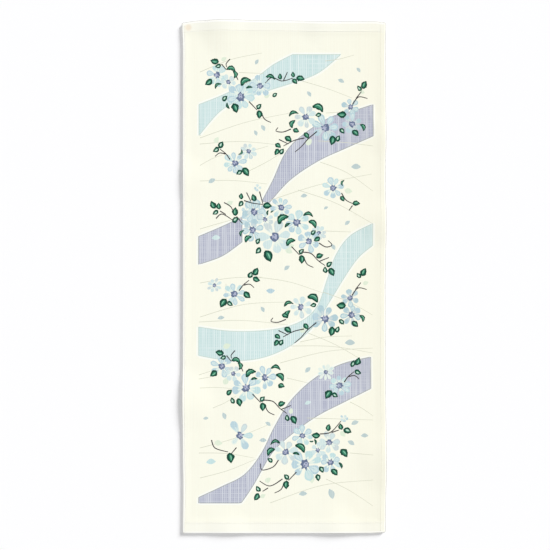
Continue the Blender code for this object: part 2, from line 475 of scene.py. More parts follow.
def back_height(x, y):
    """How high the underside lies over the surface, with a groove at the edge of the turned hem."""
    inside = min(depths(x, y))
    from_edge = inside / BACK_STEP_SPREAD
    return lift(x, y) + BACK_STEP * math.exp(-from_edge * from_edge)


def outline_middle():
    """The middle of the laid outline, which is over the origin."""
    steps = [i / 200 - 0.5 for i in range(201)]
    tops = [spread_out(s * WIDTH, LENGTH / 2)[1] for s in steps]
    bottoms = [spread_out(s * WIDTH, -LENGTH / 2)[1] for s in steps]
    rights = [spread_out(WIDTH / 2, s * LENGTH)[0] for s in steps]
    lefts = [spread_out(-WIDTH / 2, s * LENGTH)[0] for s in steps]
    return (max(rights) + min(lefts)) / 2, (max(tops) + min(bottoms)) / 2


MIDDLE = outline_middle()


def place(x, y, height):
    """A point of the sewn towel as a place in the scene, in metres."""
    laid_x, laid_y = spread_out(x, y)
    return ((laid_x - MIDDLE[0]) * MM, (laid_y - MIDDLE[1]) * MM, height * MM)


# The print

class Print:
    """The printed shapes in the order they go on the cloth, as outlines on the sewn towel."""

    def __init__(self):
        self.shapes = []
        self.dice = random.Random(26)

    def add(self, ink, points):
        """One shape, from points of the chart, turned to run anticlockwise."""
        across, down = CHART_MIDDLE
        outline = [((x - across) * PIXEL, (down - y) * PIXEL) for x, y in points]
        ahead = outline[1:] + outline[:1]
        area = sum(a[0] * b[1] - b[0] * a[1] for a, b in zip(outline, ahead))
        self.shapes.append((ink, outline if area > 0 else outline[::-1]))

    def lay(self, ink, west, east, south, north):
        """One rectangle, in millimetres from the towel's middle, with points close enough along its
        sides to follow the ripples."""
        corners = ((west, south), (east, south), (east, north), (west, north))
        outline = []
        for (x, y), (end_x, end_y) in zip(corners, corners[1:] + corners[:1]):
            pieces = max(1, round(math.dist((x, y), (end_x, end_y)) / GRID))
            for i in range(pieces):
                share = i / pieces
                outline.append((x + (end_x - x) * share, y + (end_y - y) * share))
        self.shapes.append((ink, outline))


HIGHLIGHT_FOLD_WIDTH = 2.4  # how far in from the edge the painted highlight along the fold reaches
BAND_LINE = 0.75  # the line along the edge of a band, in pixels, as the next three are
BARE_WIDTH = 4.0  # twice as far as the cotton is left bare beside a band
ARC_WIDTH = 0.6
STEM_WIDTH = 1.2
RAGGED = 0.14  # how far a leaf's printed edge strays, as a share of its half width
POINTED = 1.1  # over 0.5, a leaf narrows in a straighter line to its tip


def headed(x, y, heading, forward, aside=0.0):
    """A place this far forward and aside from a point of the chart, where down is positive."""
    turn = math.radians(heading)
    return (
        x + forward * math.cos(turn) - aside * math.sin(turn),
        y - forward * math.sin(turn) - aside * math.cos(turn),
    )


def flowing(points, step):
    """Points about one step apart on a smooth curve through these ones."""
    ends = [points[0], *points, points[-1]]
    curve = []
    for before, start, end, after in zip(ends, ends[1:], ends[2:], ends[3:]):
        pieces = max(1, round(math.dist(start, end) / step))
        for i in range(pieces):
            t = i / pieces
            curve.append(
                tuple(
                    0.5
                    * (
                        2 * b
                        + (c - a) * t
                        + (2 * a - 5 * b + 4 * c - d) * t * t
                        + (3 * b - a - 3 * c + d) * t**3
                    )
                    for a, b, c, d in zip(before, start, end, after)
                )
            )
    curve.append(points[-1])
    return curve


def stroke(sheet, ink, curve, widest, tail):
    """A line of four-sided pieces along a curve, widest at its start and tail times that at its end."""
    sides = []
    for i, (x, y) in enumerate(curve):
        ahead, behind = curve[min(i + 1, len(curve) - 1)], curve[max(i - 1, 0)]
        heading = math.degrees(math.atan2(behind[1] - ahead[1], ahead[0] - behind[0]))
        share = i / (len(curve) - 1)
        half = widest / 2 * (1 + (tail - 1) * share)
        sides.append((headed(x, y, heading, 0, half), headed(x, y, heading, 0, -half)))
    for (left, right), (next_left, next_right) in zip(sides, sides[1:]):
        sheet.add(ink, (left, right, next_right, next_left))


def leaf_shape(x, y, heading, length, width, bend=0.0, widest=0.42, steps=9, dice=None, tip=POINTED):
    """The outline of a leaf or petal from its foot to its tip: round at its foot, drawn to a point.
    It bows to its left by the bend, and the dice make its edge ragged."""
    foot = widest / (1 - widest) * tip
    top = widest**foot * (1 - widest) ** tip
    left, right = [], []
    for i in range(steps + 1):
        t = i / steps
        half = width / 2 * (t**foot * (1 - t) ** tip) / top
        ragged = [1 + dice.uniform(-RAGGED, RAGGED) if dice else 1 for side in range(2)]
        middle = bend * length * math.sin(math.pi * t)
        left.append(headed(x, y, heading, length * (t - 0.5), middle + half * ragged[0]))
        if 0 < i < steps:
            right.append(headed(x, y, heading, length * (t - 0.5), middle - half * ragged[1]))
    return left + right[::-1]


def petal_shape(x, y, heading, start, end, width, steps=9):
    """The outline of one clematis petal: narrow at its foot, broad and blunt towards its tip."""
    left, right = [], []
    for i in range(steps + 1):
        t = i / steps
        half = width / 2 * math.sin(math.pi * t**1.8) ** 0.6
        forward = start + (end - start) * t
        left.append(headed(x, y, heading, forward, half))
        if 0 < i < steps:
            right.append(headed(x, y, heading, forward, -half))
    return left + right[::-1]


def lay_hems(sheet):
    """The four hems, whose three layers look a little less yellow than the single cloth, and a pale band
    painted along the folded edge on the left, bottom and top as a highlight."""
    east, north = WIDTH / 2 - FOLD_RADIUS - RIM_LINE, LENGTH / 2 - FOLD_RADIUS - RIM_LINE
    side, end = east - CORNER_ROUND, north - CORNER_ROUND
    sheet.lay("hem cotton", -side, side, LENGTH / 2 - TOP_HEM, north)
    sheet.lay("hem cotton", -side, side, -north, BOTTOM_HEM - LENGTH / 2)
    sheet.lay("hem cotton", -east, LEFT_HEM - WIDTH / 2, -end, end)
    sheet.lay("painted highlight fold", -east, HIGHLIGHT_FOLD_WIDTH - WIDTH / 2, -end, end)
    sheet.lay("painted highlight fold", -side, side, -north, HIGHLIGHT_FOLD_WIDTH - LENGTH / 2)
    sheet.lay("painted highlight fold", -side, side, LENGTH / 2 - HIGHLIGHT_FOLD_WIDTH, north)


def print_bands(sheet):
    """The bands, each with a thin line along its edge and the cotton left whiter just outside it."""
    for ink, upper, lower in BANDS:
        outline = flowing(upper, 3) + flowing(lower, 3)[::-1]
        closed = [*outline, outline[0]]
        stroke(sheet, "bare cotton", closed, BARE_WIDTH, 1)
        sheet.add(ink, outline)
        stroke(sheet, ink.replace("band", "line"), closed, BAND_LINE, 1)


def print_arcs(sheet):
    for from_across, from_down, to_across, to_down, sag in ARCS:
        middle = ((from_across + to_across) / 2, (from_down + to_down) / 2 + sag)
        curve = flowing(((from_across, from_down), middle, (to_across, to_down)), 4)
        stroke(sheet, "sand arc", curve, ARC_WIDTH, 0.6)


def print_petal(sheet, x, y, heading, foot, end, broad, ink, pale):
    """One petal, printed either with a deeper tip or with a deeper rim round a paler middle."""
    sheet.add(pale, petal_shape(x, y, heading, foot, end, broad))
    if sheet.dice.random() < 0.5:
        sheet.add(ink, petal_shape(x, y, heading, 0.3 * end, 0.99 * end, 0.94 * broad))
        sheet.add(pale, petal_shape(x, y, heading, 1.5 * foot, 0.6 * end, 0.24 * broad))
    else:
        sheet.add(ink, petal_shape(x, y, heading, 1.5 * foot, end, broad))
        sheet.add("light petal", petal_shape(x, y, heading, 2 * foot, 0.9 * end, 0.56 * broad))
        sheet.add(ink, petal_shape(x, y, heading, 1.5 * foot, 0.72 * end, 0.1 * broad))


def print_flower(sheet, across, down, reach, petals, turn, look):
    """A flower of pale petals, deeper in colour towards their tips, round a dark eye."""
    inks, pale, eye = FLOWER_LOOKS[look]
    dice = sheet.dice
    width = 2 * math.pi * 0.7 * reach / petals
    foot = 0.12 * reach
    if look == "spread":
        for heading, end, broad, ink in SPREAD_PETALS:
            print_petal(sheet, across, down, heading, foot, end, broad, ink, pale)
    for i in range(petals if inks else 0):
        heading = turn + 360 * (i + dice.uniform(-0.14, 0.14)) / petals
        end = reach * dice.uniform(0.88, 1.12)
        broad = width * dice.uniform(0.66, 0.98)
        print_petal(sheet, across, down, heading, foot, end, broad, dice.choice(inks), pale)
    if eye:
        print_eye(sheet, across, down, eye * reach, turn)


def blob(sheet, across, down, radius, turn, points, ragged):
    """A spot of about this radius with a ragged outline."""
    outline = []
    for i in range(points):
        reach = radius * (1 + ragged * (0.4 * (-1) ** i + 0.7 * sheet.dice.uniform(-1, 1)))
        outline.append(headed(across, down, turn + 360 * i / points, reach))
    return outline


def print_eye(sheet, across, down, radius, turn):
    """The dark eye of stamens: a ragged ring, paler inside, with a fleck or two in it."""
    dice = sheet.dice
    sheet.add("violet eye", blob(sheet, across, down, 0.96 * radius, turn, 14, 0.36))
    x, y = headed(across, down, dice.uniform(0, 360), 0.12 * radius)
    sheet.add("lilac eye", blob(sheet, x, y, 0.52 * radius, turn, 9, 0.36))
    for i in range(2):
        x, y = headed(across, down, turn + 180 * i + dice.uniform(-50, 50), 0.3 * radius)
        sheet.add("violet eye", blob(sheet, x, y, 0.17 * radius, turn, 6, 0.2))


# Columns for each kind of leaf: how pointed it is; width and bend of its dark outline; length, width
# and bend of its green blade; length, width, place aside and ink of the light on it. All but the
# first and the ink are shares of its length.
LEAF_KINDS = {
    "blade": (POINTED, 0.7, 0.05, 0.66, 0.3, 0.06, 0.5, 0.1, 0.04, "mint leaf"),
    "open": (POINTED, 0.7, 0.05, 0.58, 0.32, 0.06, 0.46, 0.2, 0.03, "pale leaf"),
    "bent": (0.62, 0.52, 0.24, 0.72, 0.25, 0.22, 0.6, 0.07, 0.05, "mint leaf"),
    "arch": (0.62, 0.36, 0.3, 0.62, 0.12, 0.28, 0.42, 0.05, 0.0, "mint leaf"),
    "curl": (0.8, 0.38, 0.14, 0.4, 0.07, 0.14, 0.2, 0.02, 0.0, "mint leaf"),
}


def print_leaf(sheet, across, down, length, heading, kind, hand):
    """One leaf: its dark outline, and in it the green blade and the light on the blade, which bow
    with it. The hand is 1, or -1 for a leaf of a mirrored spray."""
    tip, width, bend, blade, blade_width, blade_bend, light, light_width, aside, ink = LEAF_KINDS[kind]
    spot = (across, down, heading)
    rough = {"dice": sheet.dice, "tip": tip}
    sheet.add("dark leaf", leaf_shape(*spot, length, width * length, hand * bend, **rough))
    at_foot = bend * math.sin(math.pi * (1 - blade) / 2)  # the outline's bow where the blade starts
    x, y = headed(*spot, 0, hand * length * at_foot)
    size = (blade * length, blade_width * length)
    inner_bend = hand * (blade_bend - at_foot) / blade
    sheet.add("green leaf", leaf_shape(x, y, heading, *size, inner_bend, **rough))
    at_foot = bend * math.sin(math.pi * (1 - light) / 2)
    x, y = headed(*spot, 0, hand * length * (aside + at_foot))
    size = (light * length, light_width * length)
    inner_bend = hand * (bend - at_foot) / light
    sheet.add(ink, leaf_shape(x, y, heading, *size, inner_bend, steps=7, tip=tip))


def placed(row, across, down, mirrored):
    """A row's place on the chart once its spray has been moved and, if need be, mirrored."""
    x, y = row[0], row[1]
    return (across - x if mirrored else across + x, down + y)


def print_spray(sheet, spray, across=0, down=0, mirrored=False):
    """One spray: its flowers, its stems over them, and its leaves on top."""
    for row in spray.get("flowers", ()):
        x, y = placed(row, across, down, mirrored)
        print_flower(sheet, x, y, *row[2:])
    for stem in spray.get("stems", ()):
        points = [placed(point, across, down, mirrored) for point in stem]
        stroke(sheet, "plum stem", flowing(points, 1.6), STEM_WIDTH, 0.65)
    for row in spray["leaves"]:
        x, y = placed(row, across, down, mirrored)
        heading = 180 - row[3] if mirrored else row[3]
        print_leaf(sheet, x, y, row[2], heading, row[4], -1 if mirrored else 1)


def make_print():
    sheet = Print()
    lay_hems(sheet)
    print_bands(sheet)
    print_arcs(sheet)
    for across, down, length, heading in FAINT_LEAVES:
        sheet.add("faint leaf", leaf_shape(across, down, heading, length, 0.7 * length))
    for across, down, length, heading, *own_ink in LOOSE_PETALS:
        ink = own_ink[0] if own_ink else "fallen petal"
        sheet.add(ink, leaf_shape(across, down, heading, length, 0.55 * length, widest=0.5, bend=0.06))
    for row in PLACED_SPRAYS:
        print_spray(sheet, *row)
    return sheet.shapes


# Materials

# Columns: ink, the same ink where the yarns have taken it thinly, how strongly the yarns show.
INKS = {
    "undyed cotton": ("#FAFAEB", "#F8F6E6", 0.6),
    "hem cotton": ("#FAFAEF", "#F8F7E9", 0.6),
    # painted highlight: a pale band on the folded edge, standing in for the light caught there
    "painted highlight fold": ("#FFFFFB", "#FDFCF4", 0.4),
    # painted shadow: a grey lip beside the top and right edges, standing in for the shade on the floor there
    "painted shadow edge": ("#CFCFCD", "#D5D5D3", 0.4),
    "bare cotton": ("#FBFDF6", "#F9FAF2", 0.5),
    "aqua band": ("#C1DDDC", "#E8F3F2", 0.95),
    "aqua line": ("#C6D8CF", "#D4E2DA", 0.5),
    "lavender band": ("#A7ABC1", "#DBDFE5", 0.95),
    "lavender line": ("#A6AAAA", "#B6BABA", 0.5),
    "sand arc": ("#CDCFBC", "#E8EAD6", 0.4),
    "faint leaf": ("#DDEBD6", "#F0F5E2", 0.4),
    "fallen petal": ("#B8CBCD", "#D3E0DC", 0.5),
    "blue petal": ("#B2CEDA", "#CFE2E4", 0.6),
    "sky petal": ("#BCDDE0", "#DAEBE6", 0.6),
    "light petal": ("#CDE2E4", "#E2EFE8", 0.6),
    "grey petal": ("#C8D6DA", "#E0E8E0", 0.6),
    "veiled petal": ("#AECBD4", "#C4DADD", 0.6),
    "white petal": ("#E4F0E8", "#F0F6E6", 0.5),
    "violet eye": ("#62708E", "#7C88A4", 0.4),
    "lilac eye": ("#ACB2CC", "#C6CCDA", 0.4),
    "dark leaf": ("#0A4434", "#1A5646", 0.4),
    "green leaf": ("#2F8062", "#4F987C", 0.4),
    "mint leaf": ("#82C4A4", "#A4D6BC", 0.3),
    "pale leaf": ("#C0E2D0", "#DCEEDC", 0.3),
    "plum stem": ("#3C383A", "#5A5454", 0.3),
}


def linear(colour):
    """A sRGB hex colour as the linear numbers that a shader takes."""
    parts = [int(colour[i : i + 2], 16) / 255 for i in (1, 3, 5)]
    return (*[c / 12.92 if c <= 0.04045 else ((c + 0.055) / 1.055) ** 2.4 for c in parts], 1.0)


def add(tree, kind, inputs=(), **settings):
    """Adds one node with its settings; an input is a value, or the socket that feeds it."""
    made = tree.nodes.new(kind)
    for name, value in settings.items():
        setattr(made, name, value)
    for socket, value in dict(inputs).items():
        if isinstance(value, bpy.types.NodeSocket):
            tree.links.new(value, made.inputs[socket])
        else:
            made.inputs[socket].default_value = value
    return made


# Gauze yarns lie about 0.55 mm apart, which is too fine to show; they are drawn at this pitch
YARN_PITCH_MM = 2.0
YARN_RELIEF_MM = 0.14
# A thick or thin place in the yarns, drawn a few yarns wide, and how far it runs
STREAK_WIDTH_MM = 1.7
STREAK_LENGTH_MM = 150.0
STREAK_RANGE = 0.3  # from the yarns' thinnest printing to their thickest, in the noise's own measure
# Every few yarns the weave draws closer, which prints as fine lines down the cloth, fainter across it
RIB_PITCH_MM = 3.35
RIB_SHOW = 0.1
CROSS_RIB_SHOW = 0.04
INK_UNEVEN = 0.12  # how much paler the ink may be in broad patches

YELLOWED = "#FEFDFB"
YELLOW_FROM_MM = 60.0
YELLOW_TO_MM = 150.0
STAIN = "#F3E6D2"
STAIN_SHOW = 0.85
STAIN_PLACE_MM = (-160.8, 419.1, 0)
STAIN_RADIUS_MM = 8.0


def wave(tree, place, pitch):
    """An even wave over the cloth, from a place across or along it."""
    turned = add(
        tree, "ShaderNodeMath", {0: place, 1: 2 * math.pi / pitch}, operation="MULTIPLY"
    ).outputs[0]
    return add(tree, "ShaderNodeMath", {0: turned}, operation="SINE").outputs[0]


def yarns_one_way(tree, in_mm, place, size, shift, roughness, rib_show, thinnest):
    """The yarns that run one way: how thick and thin they are, and the streaks that this prints as."""
    scale = (1 / size[0], 1 / size[1], 1)
    where = add(
        tree, "ShaderNodeMapping", {"Vector": in_mm, "Scale": scale, "Location": shift}
    ).outputs[0]
    thick = add(
        tree, "ShaderNodeTexNoise", {"Vector": where, "Scale": 1.0, "Detail": 3.0, "Roughness": roughness}
    ).outputs["Fac"]
    ribs = wave(tree, place, RIB_PITCH_MM)
    ribbed = add(
        tree, "ShaderNodeMath", {0: ribs, 1: rib_show, 2: thick}, operation="MULTIPLY_ADD"
    ).outputs[0]
    streak = add(
        tree,
        "ShaderNodeMapRange",
        {"Value": ribbed, "From Min": thinnest, "From Max": thinnest + STREAK_RANGE},
    ).outputs["Result"]
    return thick, streak


def gauze(name, ink, paler, streaks):
    """Plain-woven cotton gauze, scoured but not bleached, and printed in one ink. Cotton is matt,
    with a slight fuzz; its thick and thin yarns take the ink unevenly, in streaks down and across."""
    material = bpy.data.materials.new(name)
    material.use_nodes = True
    tree = material.node_tree
    tree.nodes.clear()
    where = add(tree, "ShaderNodeTexCoord").outputs["Object"]
    in_mm = add(tree, "ShaderNodeMapping", {"Vector": where, "Scale": (1000, 1000, 0)}).outputs[0]
    sides = add(tree, "ShaderNodeSeparateXYZ", {"Vector": in_mm}).outputs
    down_yarns, down_streak = yarns_one_way(
        tree, in_mm, sides["X"], (STREAK_WIDTH_MM, STREAK_LENGTH_MM), (0, 0, 0), 0.62, RIB_SHOW, 0.4
    )
    over_yarns, over_streak = yarns_one_way(
        tree, in_mm, sides["Y"], (STREAK_LENGTH_MM, STREAK_WIDTH_MM), (7, 3, 0), 0.6, CROSS_RIB_SHOW, 0.48
    )
    streak = add(
        tree, "ShaderNodeMath", {0: down_streak, 1: over_streak}, operation="MAXIMUM"
    ).outputs[0]
    uneven = add(
        tree, "ShaderNodeTexNoise", {"Vector": in_mm, "Scale": 0.045, "Detail": 2.0}
    ).outputs["Fac"]
    share = add(
        tree, "ShaderNodeMath", {0: streak, 1: streaks}, operation="MULTIPLY"
    ).outputs[0]
    share = add(
        tree, "ShaderNodeMath", {0: uneven, 1: INK_UNEVEN, 2: share}, operation="MULTIPLY_ADD", use_clamp=True
    ).outputs[0]
    # the sixth, seventh and second sockets of a mix node are its two colours and the mixed one
    printed = add(
        tree, "ShaderNodeMix", {0: share, 6: linear(ink), 7: linear(paler)}, data_type="RGBA"
    ).outputs[2]

    # the right side has yellowed a little
    yellowing = add(
        tree,
        "ShaderNodeMapRange",
        {"Value": sides["X"], "From Min": YELLOW_FROM_MM, "From Max": YELLOW_TO_MM},
    ).outputs["Result"]
    aged = add(
        tree,
        "ShaderNodeMix",
        {0: yellowing, 6: printed, 7: linear(YELLOWED)},
        data_type="RGBA",
        blend_type="MULTIPLY",
    ).outputs[2]
    # one faint warm stain, soft at its edge
    from_stain = add(
        tree, "ShaderNodeVectorMath", {0: in_mm, 1: STAIN_PLACE_MM}, operation="DISTANCE"
    ).outputs["Value"]
    stained = add(
        tree,
        "ShaderNodeMapRange",
        {
            "Value": from_stain,
            "From Min": STAIN_RADIUS_MM,
            "From Max": 0.3 * STAIN_RADIUS_MM,
            "To Max": STAIN_SHOW,
        },
        interpolation_type="SMOOTHSTEP",
    ).outputs["Result"]
    colour = add(
        tree, "ShaderNodeMix", {0: stained, 6: aged, 7: linear(STAIN)}, data_type="RGBA"
    ).outputs[2]

    warp = wave(tree, sides["X"], YARN_PITCH_MM)
    weft = wave(tree, sides["Y"], YARN_PITCH_MM)
    weave = add(tree, "ShaderNodeMath", {0: warp, 1: weft}, operation="MULTIPLY").outputs[0]
    height = add(
        tree, "ShaderNodeMath", {0: weave, 1: 0.3, 2: down_yarns}, operation="MULTIPLY_ADD"
    ).outputs[0]
    bump = add(
        tree,
        "ShaderNodeBump",
        {"Height": height, "Strength": 0.6, "Distance": YARN_RELIEF_MM * MM},
    ).outputs[0]
    matt = add(
        tree, "ShaderNodeMapRange", {"Value": over_yarns, "To Min": 0.84, "To Max": 0.98}
    ).outputs["Result"]
    surface = add(
        tree,
        "ShaderNodeBsdfPrincipled",
        {"Base Color": colour, "Roughness": matt, "Normal": bump, "IOR": 1.53, "Specular IOR Level": 0.25},
    ).outputs[0]
    add(tree, "ShaderNodeOutputMaterial", {"Surface": surface})
    return material


def sewing_cotton():
    """Spun polyester-cotton sewing thread in the cloth's own colour, with a little more lustre than
    the gauze and the twist of its plies."""
    material = bpy.data.materials.new("cream_sewing_thread")
    material.use_nodes = True
    tree = material.node_tree
    tree.nodes.clear()
    where = add(tree, "ShaderNodeTexCoord").outputs["Object"]
    # plies cross the thread about every 0.4 mm
    twist = add(
        tree,
        "ShaderNodeTexWave",
        {"Vector": where, "Scale": 2500 / (2 * math.pi), "Distortion": 1.0},
        bands_direction="DIAGONAL",
    ).outputs["Fac"]
    colour = add(tree, "ShaderNodeValToRGB", {"Fac": twist})
    colour.color_ramp.elements[0].color = linear("#EFEBD8")
    colour.color_ramp.elements[1].color = linear("#FBFAEE")
    bump = add(tree, "ShaderNodeBump", {"Height": twist, "Strength": 0.4, "Distance": 0.05 * MM}).outputs[0]
    surface = add(
        tree,
        "ShaderNodeBsdfPrincipled",
        {"Base Color": colour.outputs["Color"], "Roughness": 0.6, "Normal": bump, "IOR": 1.54},
    ).outputs[0]
    add(tree, "ShaderNodeOutputMaterial", {"Surface": surface})
    return material


# The cloth

# The rim from the printed face round to the back. Its fold carries a painted highlight, and the lip on
# # the top and right a painted shadow. Columns: share of the fold's radius and share of the lip that it
# # stands out, share of the cloth's height, ink.
RIM_PROFILE = (
    (0.5, 0.0, 0.97, "painted highlight fold"),
    (0.87, 0.0, 0.82, "painted highlight fold"),
    (1.0, 0.0, 0.45, "painted highlight fold"),
    (1.0, 0.03, 0.11, "painted highlight fold"),
    (1.0, 0.96, 0.1, "painted shadow edge"),
    (0.9, 1.0, 0.05, "painted shadow edge"),
    (0.5, 0.9, 0.01, "undyed cotton"),
)


def edge_lines(half, low_hem, high_hem):
    """Places across the cloth where its net has lines: close together at the hems, even inside."""
    low, high = -half + FOLD_RADIUS, half - FOLD_RADIUS
    at_low = [-half + low_hem + d for d in (-SEAM_INSET, 0.0, HEM_STEP / 2, HEM_STEP)]
    at_high = [half - high_hem - d for d in (HEM_STEP, HEM_STEP / 2, 0.0, -SEAM_INSET)]
    start, stop = at_low[-1], at_high[0]
    cells = round((stop - start) / GRID)
    inside = [start + (stop - start) * i / cells for i in range(1, cells)]
    low_hem_lines = [low + RIM_LINE, *[low + (at_low[0] - low) * i / 3 for i in (1, 2)]]
    high_hem_lines = [*[high - (high - at_high[-1]) * i / 3 for i in (2, 1)], high - RIM_LINE]
    return [low, *low_hem_lines, *at_low, *inside, *at_high, *high_hem_lines, high]


COLUMNS = edge_lines(WIDTH / 2, LEFT_HEM, RIGHT_HEM)
ROWS = edge_lines(LENGTH / 2, BOTTOM_HEM, TOP_HEM)


def rim_line():
    """The line where the folded edge begins, as places with their outward directions."""
    east, north = WIDTH / 2 - FOLD_RADIUS, LENGTH / 2 - FOLD_RADIUS
    line = []
    corners = (
        (east, -north, 270, [(east, y, 1, 0) for y in ROWS[1:-1]]),
        (east, north, 0, [(x, north, 0, 1) for x in COLUMNS[-2:0:-1]]),
        (-east, north, 90, [(-east, y, -1, 0) for y in ROWS[-2:0:-1]]),
        (-east, -north, 180, [(x, -north, 0, -1) for x in COLUMNS[1:-1]]),
    )
    for corner_x, corner_y, start, straight in corners:
        middle_x = corner_x - math.copysign(CORNER_ROUND, corner_x)
        middle_y = corner_y - math.copysign(CORNER_ROUND, corner_y)
        for i in range(5):
            turn = math.radians(start + 90 * i / 4)
            out_x, out_y = math.cos(turn), math.sin(turn)
            line.append((middle_x + CORNER_ROUND * out_x, middle_y + CORNER_ROUND * out_y, out_x, out_y))
        line += [p for p in straight if clear_of_corner(p[0], p[1])]
    return line


def clear_of_corner(x, y):
    """Is this place on the rim past the rounding of the corners?"""
    from_x = WIDTH / 2 - FOLD_RADIUS - abs(x)
    from_y = LENGTH / 2 - FOLD_RADIUS - abs(y)
    return max(from_x, from_y) > CORNER_ROUND + CORNER_CLEARANCE


def within_rim(x, y):
    """Is this place well inside the rounding of the nearest corner?"""
    out_x = max(0.0, abs(x) - (WIDTH / 2 - FOLD_RADIUS - CORNER_ROUND))
    out_y = max(0.0, abs(y) - (LENGTH / 2 - FOLD_RADIUS - CORNER_ROUND))
    return math.hypot(out_x, out_y) < CORNER_ROUND - RIM_LINE


def net_points():
    """The points of the net inside the rim."""
    return [(x, y) for y in ROWS[1:-1] for x in COLUMNS[1:-1] if within_rim(x, y)]


def laid_net(rim, inner, shapes):
    """Triangles over the towel's plan that keep to the edges of the printed shapes. Gives the
    corners, the triangles, the ink of each, and the corner at each place of the rim."""
    corners = [(x, y) for x, y, _, _ in rim] + inner
    outlines = [list(range(len(rim)))]
    for _, outline in shapes:
        outlines.append(list(range(len(corners), len(corners) + len(outline))))
        corners += outline
    flat = [Vector(p) for p in corners]
    made = delaunay_2d_cdt(flat, [], outlines, 1, 1e-4, True)
    points, _, triangles, from_corners, _, from_outlines = made
    at_rim = {}
    for number, sources in enumerate(from_corners):
        for source in sources:
            if source < len(rim):
                at_rim[source] = number
    bounds = [None] + [
        (min(p[0] for p in o), max(p[0] for p in o), min(p[1] for p in o), max(p[1] for p in o))
        for _, o in shapes
    ]
    inks = []
    for triangle, sources in zip(triangles, from_outlines):
        x, y = sum((points[i] for i in triangle), Vector((0, 0))) / 3
        # the net maker now and then gives a sliver to an outline far away from it
        near = [s for s in sources if s and holds(bounds[s], x, y)]
        inks.append(shapes[max(near) - 1][0] if near else "undyed cotton")
    return points, triangles, inks, [at_rim[i] for i in range(len(rim))]


def holds(bounds, x, y):
    """Is this place inside an outline's lowest and highest x and y?"""
    return bounds[0] < x < bounds[1] and bounds[2] < y < bounds[3]


def make_cloth():
    """The towel as one closed sheet: the printed face, the folded rim and the plain back."""
    shapes = make_print()
    rim = rim_line()
    inner = net_points()
    face = laid_net(rim, inner, shapes)
    back = laid_net(rim, inner[::2], [])
    names = list(INKS)

    points = [place(p.x, p.y, face_height(p.x, p.y)) for p in face[0]]
    faces = [tuple(t) for t in face[1]]
    slots = [names.index(ink) for ink in face[2]]
    ring = face[3]
    for fold_share, lip_share, up, ink in RIM_PROFILE:
        next_ring = []
        for x, y, out_x, out_y in rim:
            low, high = back_height(x, y), face_height(x, y)
            out = FOLD_RADIUS * fold_share + SHADOW_LIP * lip_share * max(0.0, out_x, out_y)
            next_ring.append(len(points))
            points.append(place(x + out * out_x, y + out * out_y, low + (high - low) * up))
        faces += ring_faces(ring, next_ring)
        slots += [names.index(ink)] * len(rim)
        ring = next_ring
    first = len(points)
    points += [place(p.x, p.y, back_height(p.x, p.y)) for p in back[0]]
    last_ring = [first + i for i in back[3]]
    faces += ring_faces(ring, last_ring)
    slots += [0] * len(rim)
    faces += [tuple(first + i for i in reversed(t)) for t in back[1]]
    slots += [0] * len(back[1])

    mesh = bpy.data.meshes.new("printed_gauze_cloth")
    mesh.from_pydata(points, [], faces)
    mesh.polygons.foreach_set("material_index", slots)
    for name, (ink, paler, streaks) in INKS.items():
        mesh.materials.append(gauze(name.replace(" ", "_"), ink, paler, streaks))
    # the lip with the painted shadow lies flat, and so is shaded flat
    mesh.polygons.foreach_set("use_smooth", [names[slot] != "painted shadow edge" for slot in slots])
    map_for_baking(mesh)
    cloth = bpy.data.objects.new("printed_gauze_cloth", mesh)
    bpy.context.scene.collection.objects.link(cloth)
    return cloth


def ring_faces(ring, next_ring):
    """The band of faces between two rings round the rim, the second one lower and further round."""
    ahead, next_ahead = ring[1:] + ring[:1], next_ring[1:] + next_ring[:1]
    return [(a, c, d, b) for a, b, c, d in zip(ring, ahead, next_ring, next_ahead)]


def map_for_baking(mesh):
    """A flat map of both sides, laid side by side, the printed one first."""
    layer = mesh.uv_layers.new(name="OFBake")
    gap = 0.01
    room_x, room_y = 1.02 * WIDTH * MM, 1.01 * LENGTH * MM  # a little more than the cloth takes
    wide, tall = (0.5 - 1.5 * gap) / room_x, (1 - 2 * gap) / room_y
    for polygon in mesh.polygons:
        printed = polygon.normal.z > -0.2
        for corner in polygon.loop_indices:
            x, y, _ = mesh.vertices[mesh.loops[corner].vertex_index].co
            start = gap if printed else 0.5 + gap / 2
            layer.uv[corner].vector = (start + (x + room_x / 2) * wide, gap + (y + room_y / 2) * tall)


# The sewing

STITCH = 3.0  # from the start of one stitch to the start of the next
STITCH_GAP = 0.5
STITCH_WANDER = 0.08  # how far a stitch's ends stray to a side
STITCH_DIP = 0.12  # how far its ends sink into the cloth, as a share of the thread
SEAM_END = 2.5  # the sewing stops this far from the towel's edge
THREAD = 0.42
LOWEST = 0.02  # no thread lies lower than this over the surface
STITCH_RINGS = (  # columns: share along the stitch, share of the thread's thickness, share of its arch
    (0.0, 0.35, 0.0),
    (0.12, 0.85, 0.55),
    (0.5, 1.0, 1.0),
    (0.88, 0.85, 0.55),
    (1.0, 0.35, 0.0),
)
STITCH_SIDES = 6


def seam_lines():
    """The four straight runs of sewing, each from end to end of its side."""
    east = WIDTH / 2 - RIGHT_HEM + SEAM_INSET
    west = -WIDTH / 2 + LEFT_HEM - SEAM_INSET
    north = LENGTH / 2 - TOP_HEM + SEAM_INSET
    south = -LENGTH / 2 + BOTTOM_HEM - SEAM_INSET
    end_x, end_y = WIDTH / 2 - SEAM_END, LENGTH / 2 - SEAM_END
    return (
        ((east, -end_y), (east, end_y)),
        ((west, -end_y), (west, end_y)),
        ((-end_x, north), (end_x, north)),
        ((-end_x, south), (end_x, south)),
    )


